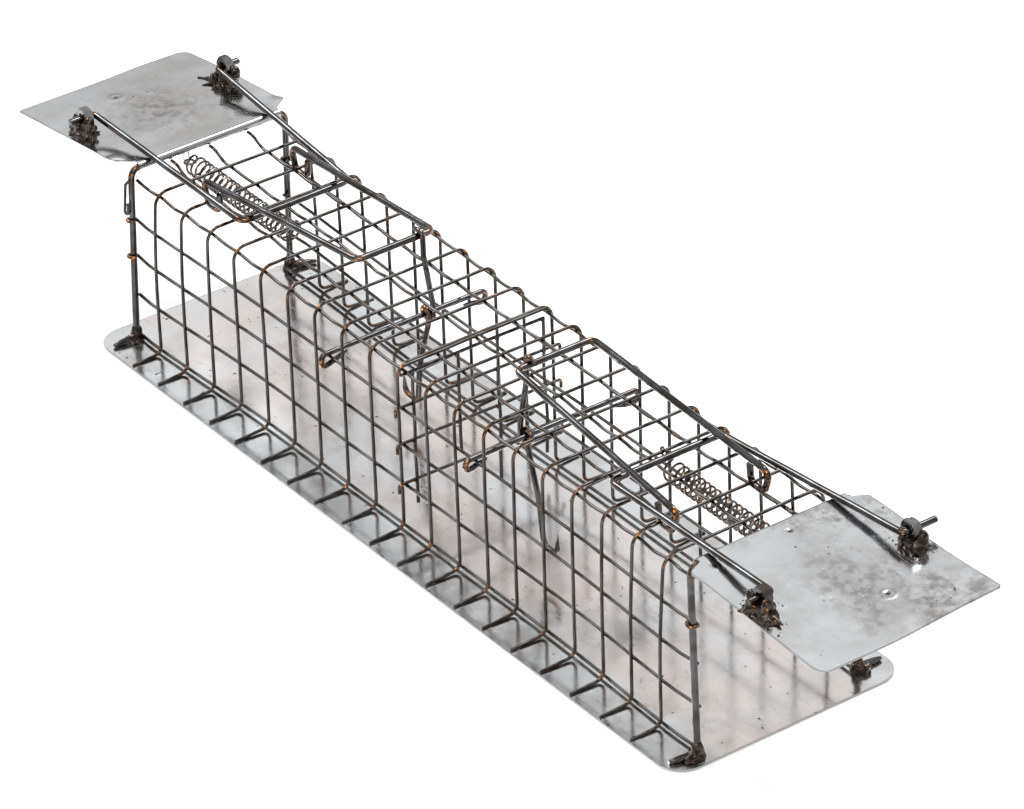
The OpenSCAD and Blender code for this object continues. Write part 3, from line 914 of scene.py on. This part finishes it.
def lug_nut(side, wall):
    """A six-sided nut with turned-off corners and a threaded bore, standing on edge across the door."""
    made = bmesh.new()
    t = NUT_THICK / 2
    face = NUT_FLATS / 2 * 1.05
    mouth, bore, thread, threads = 2.3 * MM, 1.85 * MM, 0.14 * MM, 12
    shoulder, slight, chamfer = face + 0.3 * MM, 0.2 * MM, 0.45 * MM
    # Anything past the flats is cut back to them below
    past = 1.0
    outer = [
        (face, t), (shoulder, t - slight), (past, t - chamfer), (past, 0),
        (past, chamfer - t), (shoulder, slight - t), (face, -t),
    ]
    inner = [(mouth, -t)]
    for k in range(threads + 1):
        depth = (chamfer - t) + 2 * (t - chamfer) * k / threads
        inner.append((bore + (thread if k % 2 else 0), depth))
    inner.append((mouth, t))
    loop = outer + inner
    directions = 72
    rings = []
    for k in range(directions):
        a = 2 * math.pi * k / directions
        flat = NUT_FLATS / 2 / math.cos((a % (math.pi / 3)) - math.pi / 6)
        ring = []
        for r, y in loop:
            r = min(r, flat)
            centre = on_side(side, (lug.x + r * math.cos(a), wall * LUG_Y + y, lug.z + r * math.sin(a)))
            ring.append(made.verts.new(centre))
        rings.append(ring)
    for k in range(directions):
        a, b = rings[k], rings[(k + 1) % directions]
        for i in range(len(loop)):
            j = (i + 1) % len(loop)
            made.faces.new((a[i], b[i], b[j], a[j]))
    return made


def blob(centre, radii, level=3):
    made = bmesh.new()
    bmesh.ops.create_icosphere(made, subdivisions=level, radius=1.0)
    for v in made.verts:
        v.co = Vector(centre) + Vector((v.co.x * radii[0], v.co.y * radii[1], v.co.z * radii[2]))
    return made


def spike(start, end, radius):
    path = [start.lerp(end, k / 4) for k in range(5)]
    return tube(path, 2 * radius, 8, ((end - start).length, 0.15))


def roughened(made, amount, size):
    made.normal_update()
    moves = [v.normal * noise.noise(v.co / size) * amount for v in made.verts]
    for v, move in zip(made.verts, moves):
        v.co += move
    return made


def weld_lump(parts):
    """Blobs and spikes, which are used up, melted into one lump with an uneven surface."""
    made = modified(joined(parts), ("REMESH", {"mode": "VOXEL", "voxel_size": 0.38 * MM}))
    made = modified(made, ("SMOOTH", {"factor": 0.5, "iterations": 3}))
    return roughened(roughened(made, 0.5 * MM, 2.6 * MM), 0.06 * MM, 0.9 * MM)


# How far each pile of weld spreads, in mm: toward the door's end, toward its hinge, and outward
LUG_PILES = {
    ("right", -1): (15, 9, 3), ("right", 1): (11, 6, -2),
    ("left", 1): (15, 6, 0), ("left", -1): (16, 8, -4),
}
LUMPS, SPIKES, SPATTERED = 9, 7, 34


def make_lug(side, wall, name):
    """The pile of weld that holds a nut up, and the drops that the welding left round it."""
    place = door_place(side)
    nut = place.inverted() @ on_side(side, (lug.x, wall * LUG_Y, lug.z))
    top = CURL_RADIUS + DOOR_SHEET / 2
    chance = random.Random(name)
    base = Vector((nut.x, nut.y, top))
    rise = nut.z - NUT_FLATS / 2 - top
    ahead, behind, outward = (v * MM for v in LUG_PILES[side, wall])
    middle = base + Vector(((ahead - behind) * 0.4, wall * (0.8 * MM + outward * 0.4), 0.2 * MM))
    core = base + Vector((0.12 * ahead, wall * 0.8 * MM, rise * 0.5))
    parts = [
        blob(middle, Vector(((ahead + behind) * 0.37, 5.6 * MM, 1.9 * MM))),
        blob(core, Vector((6.4 * MM, 4.5 * MM, rise * 0.5 + 3.3 * MM))),
    ]

    def spread(a):
        return math.cos(a) * (ahead if math.cos(a) > 0 else behind)

    for k in range(LUMPS):
        a = 2 * math.pi * k / LUMPS + chance.uniform(-0.3, 0.3)
        size = chance.uniform(1.7, 2.9) * MM
        reach = Vector((spread(a) * 0.5, math.sin(a) * 3.6 * MM, 0))
        spot = base + reach
        spot += Vector((0, wall * (0.6 * MM + outward * 0.3), chance.uniform(0.1, 0.9) * rise))
        parts.append(blob(spot, (size, size * 0.9, size * chance.uniform(0.8, 1.3)), 2))
    for x in (-1, 1):
        spot = base + Vector((x * 4.6 * MM, wall * 1.4 * MM, rise + chance.uniform(0.8, 2.4) * MM))
        parts.append(blob(spot, Vector((3.0, 2.8, 3.8)) * MM, 2))
    for k in range(SPIKES):
        a = 2 * math.pi * k / SPIKES + chance.uniform(-0.35, 0.35)
        far = Vector((spread(a), math.sin(a) * 7 * MM + wall * outward, 0))
        start = base + far * 0.35 + UP * chance.uniform(0.6, 1.2) * MM
        end = base + far * chance.uniform(0.75, 1.0) + UP * chance.uniform(0.1, 1.4) * MM
        parts.append(spike(start, end, chance.uniform(1.8, 2.6) * MM))
    lump = weld_lump(parts)
    drops = []
    for k in range(SPATTERED):
        a, reach = chance.uniform(0, 2 * math.pi), chance.uniform(7, 15) * MM
        spot = middle + Vector((math.cos(a) * reach, math.sin(a) * reach * 0.7, -0.15 * MM))
        size = chance.uniform(0.2, 0.55) * MM
        if abs(spot.y) < DOOR_HALF - MM:
            drops.append(blob(spot, (size, size * chance.uniform(0.8, 1.6), size * 0.6), 1))
    whole = joined([lump] + drops)
    whole.transform(place)
    return whole


def make_lugs():
    for side in SIDES:
        lumps = []
        for corner, wall in (("front", -1), ("rear", 1)):
            own_wall = wall if side == "right" else -wall
            node = f"lug_nut_{side}_{corner}"
            mesh = finished(node, lug_nut(side, own_wall), math.radians(25))
            piece(f"hex_{node}", mesh, f"{side}_door", "nut_steel", NUT_STEEL, node)
            lumps.append(make_lug(side, own_wall, node))
        node = f"lug_welds_{side}"
        weld_piece(f"lumps_{node}", node, joined(lumps), f"{side}_door", node)


def make_foot_welds():
    """The weld round the feet of the door frames, flat underneath where it meets the base sheet."""
    for side in SIDES:
        lumps = []
        for wall in WALLS:
            chance = random.Random(f"foot{side}{wall}")
            out = FOOT_SPLAY if wall < 0 else 0
            heel = Vector((hinge.x + out, wall * (PORTAL_HALF + FOOT_LEAN), floor_z))
            centre = heel + Vector((0, wall * 1.2 * MM, 0))
            parts = [
                blob(centre + UP * 0.9 * MM, Vector((4.0, 4.6, 1.7)) * MM),
                blob(heel + UP * 4 * MM, Vector((2.7, 2.6, 4.4)) * MM),
                blob(centre + Vector((0, wall * 3.4 * MM, 1.3 * MM)), Vector((2.3, 2.8, 1.7)) * MM, 2),
            ]
            for k in range(7):
                a = chance.uniform(0, 2 * math.pi)
                reach = chance.uniform(1.8, 3.4) * MM
                size = chance.uniform(1.0, 1.8) * MM
                up = chance.uniform(0.8, 3.8) * MM
                spot = centre + Vector((math.cos(a) * reach, math.sin(a) * reach, up))
                parts.append(blob(spot, (size, size, size * chance.uniform(0.8, 1.4)), 2))
            for k in range(6):
                a = chance.uniform(0, 2 * math.pi)
                ray = Vector((math.cos(a), math.sin(a), 0))
                start = centre + ray * 2.5 * MM + UP * 0.7 * MM
                end = centre + ray * chance.uniform(4.2, 5.4) * MM + UP * chance.uniform(0.2, 1.4) * MM
                parts.append(spike(start, end, chance.uniform(0.6, 0.9) * MM))
            lump = weld_lump(parts)
            for v in lump.verts:
                v.co.z = max(v.co.z, floor_z - 0.1 * MM)
            lumps.append(lump)
        whole = joined(lumps)
        whole.transform(Matrix.Rotation(0 if side == "right" else math.pi, 4, "Z"))
        node = f"foot_welds_{side}"
        weld_piece(f"lumps_{node}", node, whole, "cage", node)


# ---- Bails, triggers, axles and springs ----

bail_bar = Vector((
    lug.x - BAIL_LENGTH * math.cos(BAIL_SLOPE), 0, lug.z - BAIL_LENGTH * math.sin(BAIL_SLOPE),
))


def latch_leg_z(x):
    return bail_bar.z + frame_wire + LATCH_GAP + (bail_bar.x - x) * math.tan(LATCH_SLOPE)


latch_bar_z = latch_leg_z(LATCH_BAR_X)


def end_wire(name, side, points, bends, diameter, body, node, wobble=0.2 * MM, tips=()):
    """A piece of thick wire, worked out for the right-hand end, at the end it belongs to."""
    path = rounded_path([on_side(side, p) for p in points], bends, 4 * MM)
    path = wander(path, f"{name}{side}", wobble)
    made = tube(path, diameter, 18, *tips)
    piece(f"{name}_{side}", finished(node, made), body, "frame_wire", FRAME_STEEL, node)


def make_door_bails():
    for side in SIDES:
        far_tip = 49 * MM if side == "right" else 45 * MM
        points = [
            (lug.x, -BAIL_TIP_Y - MM, lug.z), (lug.x, -BAIL_LEG_Y, lug.z),
            (bail_bar.x, -BAIL_BAR_Y, bail_bar.z), (bail_bar.x, BAIL_BAR_Y, bail_bar.z),
            (lug.x, BAIL_LEG_Y, lug.z), (lug.x, far_tip, lug.z),
        ]
        end_wire(
            "bail", side, points, [2.2 * MM, 4 * MM, 4 * MM, 2.2 * MM], frame_wire,
            f"{side}_door_bail", f"door_bail_{side}",
        )


def make_latch_bails():
    for side in SIDES:
        half = []
        for wall in WALLS:
            y, top = wall * LATCH_HOOK_Y, arch_top
            x = latch_pivot.x
            half.append([
                (x - 5.2 * MM, y, top + 5.25 * MM), (x - 4.4 * MM, y, top - 3.45 * MM),
                (x + 4.4 * MM, y, top - 3.45 * MM), (x + 7.5 * MM, y, latch_leg_z(x + 7.5 * MM)),
                (LATCH_BAR_X, wall * LATCH_TIP_Y, latch_bar_z),
            ])
        points = half[0] + list(reversed(half[1]))
        end_wire(
            "latch", side, points, 3.4 * MM, frame_wire,
            f"{side}_latch_bail", f"latch_bail_{side}", 0.15 * MM,
        )


# The hand-turned ends of each axle, in mm: how far out, down and back in, and how far the tip rises
AXLE_ENDS = {
    ("right", -1): (3.8, 5.2, 10.8, 2.4), ("right", 1): (5.2, 5.9, 12.0, 2.2),
    ("left", 1): (3.0, 6.6, 13.2, 4.2), ("left", -1): (2.8, 5.7, 11.5, 2.6),
}


def make_axles():
    """A rod laid on the top side wires, with its ends turned down and back in under them."""
    for side in SIDES:
        x, z = axle_at.x, axle_at.z
        ends = []
        for wall in WALLS:
            out, drop, back, rise = (v * MM for v in AXLE_ENDS[side, wall])
            y = wall * (ARCH_HALF + out)
            ends.append([(x, y - wall * back, z - drop + rise), (x, y, z - drop), (x, y, z)])
        points = ends[0] + list(reversed(ends[1]))
        end_wire(
            "axle_rod", side, points, 2.5 * MM, AXLE_WIRE, "cage",
            f"axle_{side}", 0.1 * MM, ((4 * MM, 0.35), (4 * MM, 0.35)),
        )


def make_triggers():
    """One wire: the lip over the latch bar, a turn round the axle, and a pointed bait hook."""
    eye = AXLE_WIRE / 2 + PLAY + TRIGGER_WIRE / 2
    front = LATCH_BAR_X - (frame_wire + TRIGGER_WIRE) / 2 - PLAY
    top = latch_bar_z + (frame_wire + TRIGGER_WIRE) / 2 + PLAY
    x, z = axle_at.x, axle_at.z
    step = TRIGGER_WIRE * 0.52
    upper = rounded_path(
        [
            (front + 6.2 * MM, TRIGGER_Y, top - 0.6 * MM), (front, TRIGGER_Y, top),
            (front, TRIGGER_Y, latch_bar_z - 8 * MM),
            (x - eye, TRIGGER_Y - step, z + 5 * MM), (x - eye, TRIGGER_Y - step, z),
        ],
        [2.6 * MM, 2.6 * MM, 3 * MM], 3 * MM,
    )
    turns = 24
    loop = []
    for k in range(1, turns):
        a = math.pi + 2 * math.pi * k / turns
        y = TRIGGER_Y - step + 2 * step * k / turns
        loop.append(Vector((x + eye * math.cos(a), y, z + eye * math.sin(a))))
    hook_z = floor_z + 12 * MM + TRIGGER_WIRE / 2
    arm = x + 9.5 * MM
    lower = rounded_path(
        [
            (x - eye, TRIGGER_Y + step, z), (x - eye + 0.3 * MM, TRIGGER_Y + step, z - 4 * MM),
            (arm - 3.2 * MM, TRIGGER_Y + 0.5 * MM, hook_z + 20 * MM), (arm, TRIGGER_Y, hook_z),
            (arm + 9 * MM, TRIGGER_Y, hook_z), (arm + 10 * MM, TRIGGER_Y, hook_z + 10 * MM),
        ],
        [6 * MM, 60 * MM, 3.9 * MM, 3.6 * MM], 3 * MM,
    )
    for side in SIDES:
        path = [on_side(side, p) for p in upper + loop + lower]
        made = tube(path, TRIGGER_WIRE, 16, (8 * MM, 0.1), (1.5 * MM, 0.75))
        node = f"trigger_{side}"
        mesh = finished(node, made)
        piece(f"trigger_wire_{side}", mesh, f"{side}_trigger", "frame_wire", FRAME_STEEL, node)


def bridged(start, ahead, end, arrival):
    """Points between two places, leaving and arriving in the directions given."""
    count = 6
    reach = (end - start).length * 0.45
    a, b = start + ahead * reach, end - arrival * reach
    out = []
    for k in range(1, count):
        t = k / count
        near = start * (1 - t) ** 3 + a * 3 * t * (1 - t) ** 2
        out.append(near + b * 3 * t * t * (1 - t) + end * t ** 3)
    return out


def make_springs():
    """A pulling spring: a loop round an arch's top, the coil, and a loop through the door's tab."""
    z = arch_top - SPRING_DROP
    first, last = 125 * MM, hinge.x + 2.5 * MM
    r = SPRING_RADIUS
    anchor_at = Vector((120 * MM, SPRING_Y, arch_top - 0.2 * MM))
    steps, ring_steps = 18, 22

    def circle(centre, radius, start, sweep, across):
        angles = [math.radians(start - sweep * k / ring_steps) for k in range(ring_steps + 1)]
        return [centre + (Vector((1, 0, 0)) * math.cos(a) + across * math.sin(a)) * radius for a in angles]

    anchor = circle(anchor_at, 1.9 * MM, 390, 330, UP)
    coil = []
    for i in range(SPRING_TURNS * steps + 1):
        t = i / steps
        a = 2 * math.pi * t
        sag = math.sin(math.pi * t / SPRING_TURNS) * 0.8 * MM
        x = first + (last - first) * t / SPRING_TURNS
        coil.append(Vector((x, SPRING_Y - r * math.sin(a), z - sag + r * math.cos(a))))
    inward = Vector((0, -1, 0))
    for side in SIDES:
        hole = on_side(side, door_place(side) @ SPRING_HOLE)
        ring_at = hole - mm(2.2, 0, 0)
        hook = circle(ring_at, 2.2 * MM, 200, 340, Vector((0, 1, 0)))
        path = anchor + bridged(anchor[-1], Vector((0.87, 0, -0.5)), coil[0], inward)
        path += coil + bridged(coil[-1], inward, hook[0], Vector((0.34, 0.94, 0))) + hook
        made = tube([on_side(side, p) for p in path], SPRING_WIRE, 8)
        node = f"spring_{side}"
        made = piece(f"coil_{side}", finished(node, made), "cage", "spring_steel", SPRING_STEEL, node)
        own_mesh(made)


# ---- Floor, lights and camera ----


AIM = (0, 0, 0.04)

# Where each light stands, its size, its power and its colour
LIGHTS = {
    "key": ((-1.25, -0.25, 1.35), (0.7, 0.7), 19, (0.93, 0.97, 1.0)),
    "top": ((-0.15, 0.85, 1.6), (0.7, 0.7), 18, (0.95, 0.98, 1.0)),
    "front": ((1.0, -0.9, 1.3), (0.8, 0.8), 9, (1.0, 0.99, 0.97)),
    "warm": ((1.2, -1.4, 0.25), (0.3, 0.2), 1.6, (1.0, 0.62, 0.3)),
}

# The photograph's view, solved from the mesh: azimuth, elevation, roll, lens, distance and target
VIEW_ANGLES = (54.685, 32.268, -1.853)
VIEW_LENS = 209.4
VIEW_DISTANCE = 2.4998
VIEW_TARGET = Vector((-0.0003, 0.0179, 0.04))


def area_light(name, place, size, power, colour):
    lamp = bpy.data.lights.new(name, "AREA")
    lamp.shape = "RECTANGLE"
    lamp.size, lamp.size_y = size
    lamp.energy = power
    lamp.color = colour
    made = bpy.data.objects.new(name, lamp)
    bpy.context.scene.collection.objects.link(made)
    made.location = place
    made.rotation_euler = (Vector(AIM) - Vector(place)).to_track_quat("-Z", "Y").to_euler()


def make_stage():
    """A plain pale floor, far larger than the view."""
    mesh = bpy.data.meshes.new("floor")
    reach = 8.0
    mesh.from_pydata(
        [(-reach, -reach, 0), (reach, -reach, 0), (reach, reach, 0), (-reach, reach, 0)],
        [], [(0, 1, 2, 3)],
    )
    floor = bpy.data.objects.new("floor", mesh)
    bpy.context.scene.collection.objects.link(floor)
    paper = bpy.data.materials.new("paper")
    paper.use_nodes = True
    shader = paper.node_tree.nodes["Principled BSDF"]
    shader.inputs["Base Color"].default_value = (0.93, 0.93, 0.93, 1)
    shader.inputs["Roughness"].default_value = 0.9
    mesh.materials.append(paper)


def make_world():
    """Soft light from all round, brighter overhead than at the horizon."""
    world = bpy.data.worlds.new("studio")
    bpy.context.scene.world = world
    world.use_nodes = True
    tree = world.node_tree
    background = tree.nodes["Background"]
    direction = shader_node(tree, "ShaderNodeTexCoord").outputs["Generated"]
    height = shader_node(tree, "ShaderNodeSeparateXYZ", {"Vector": direction}).outputs["Z"]
    rise = levels(tree, height, 0.0, 0.45)
    tree.links.new(mixed(tree, rise, (0.42, 0.40, 0.38), (1.0, 1.0, 1.0)), background.inputs["Color"])
    background.inputs["Strength"].default_value = 0.86


def make_camera():
    """The viewing direction, the distance and the roll of the photograph."""
    lens = bpy.data.cameras.new("camera")
    lens.lens = VIEW_LENS
    lens.sensor_width = 36.0
    lens.clip_end = 50.0
    camera = bpy.data.objects.new("camera", lens)
    bpy.context.scene.collection.objects.link(camera)
    azimuth, elevation, roll = (math.radians(a) for a in VIEW_ANGLES)
    level = math.cos(elevation)
    ahead = Vector((-math.sin(azimuth) * level, math.cos(azimuth) * level, -math.sin(elevation)))
    camera.location = VIEW_TARGET - ahead * VIEW_DISTANCE
    upright = ahead.to_track_quat("-Z", "Y").to_matrix()
    camera.rotation_euler = (Matrix.Rotation(-roll, 3, ahead) @ upright).to_euler()
    bpy.context.scene.camera = camera


def make_lights():
    for name, (place, size, power, colour) in LIGHTS.items():
        area_light(name, place, size, power, colour)


make_arches()
make_roof_wires()
make_side_wires()
make_portals()
make_foot_tips()
make_leg_loop()
make_partition()
make_base_plate()
for door_side in SIDES:
    make_door(door_side)
make_lugs()
make_foot_welds()
make_door_bails()
make_latch_bails()
make_axles()
make_triggers()
make_springs()
make_stage()
make_world()
make_lights()
make_camera()

bpy.context.scene.view_settings.view_transform = "Standard"
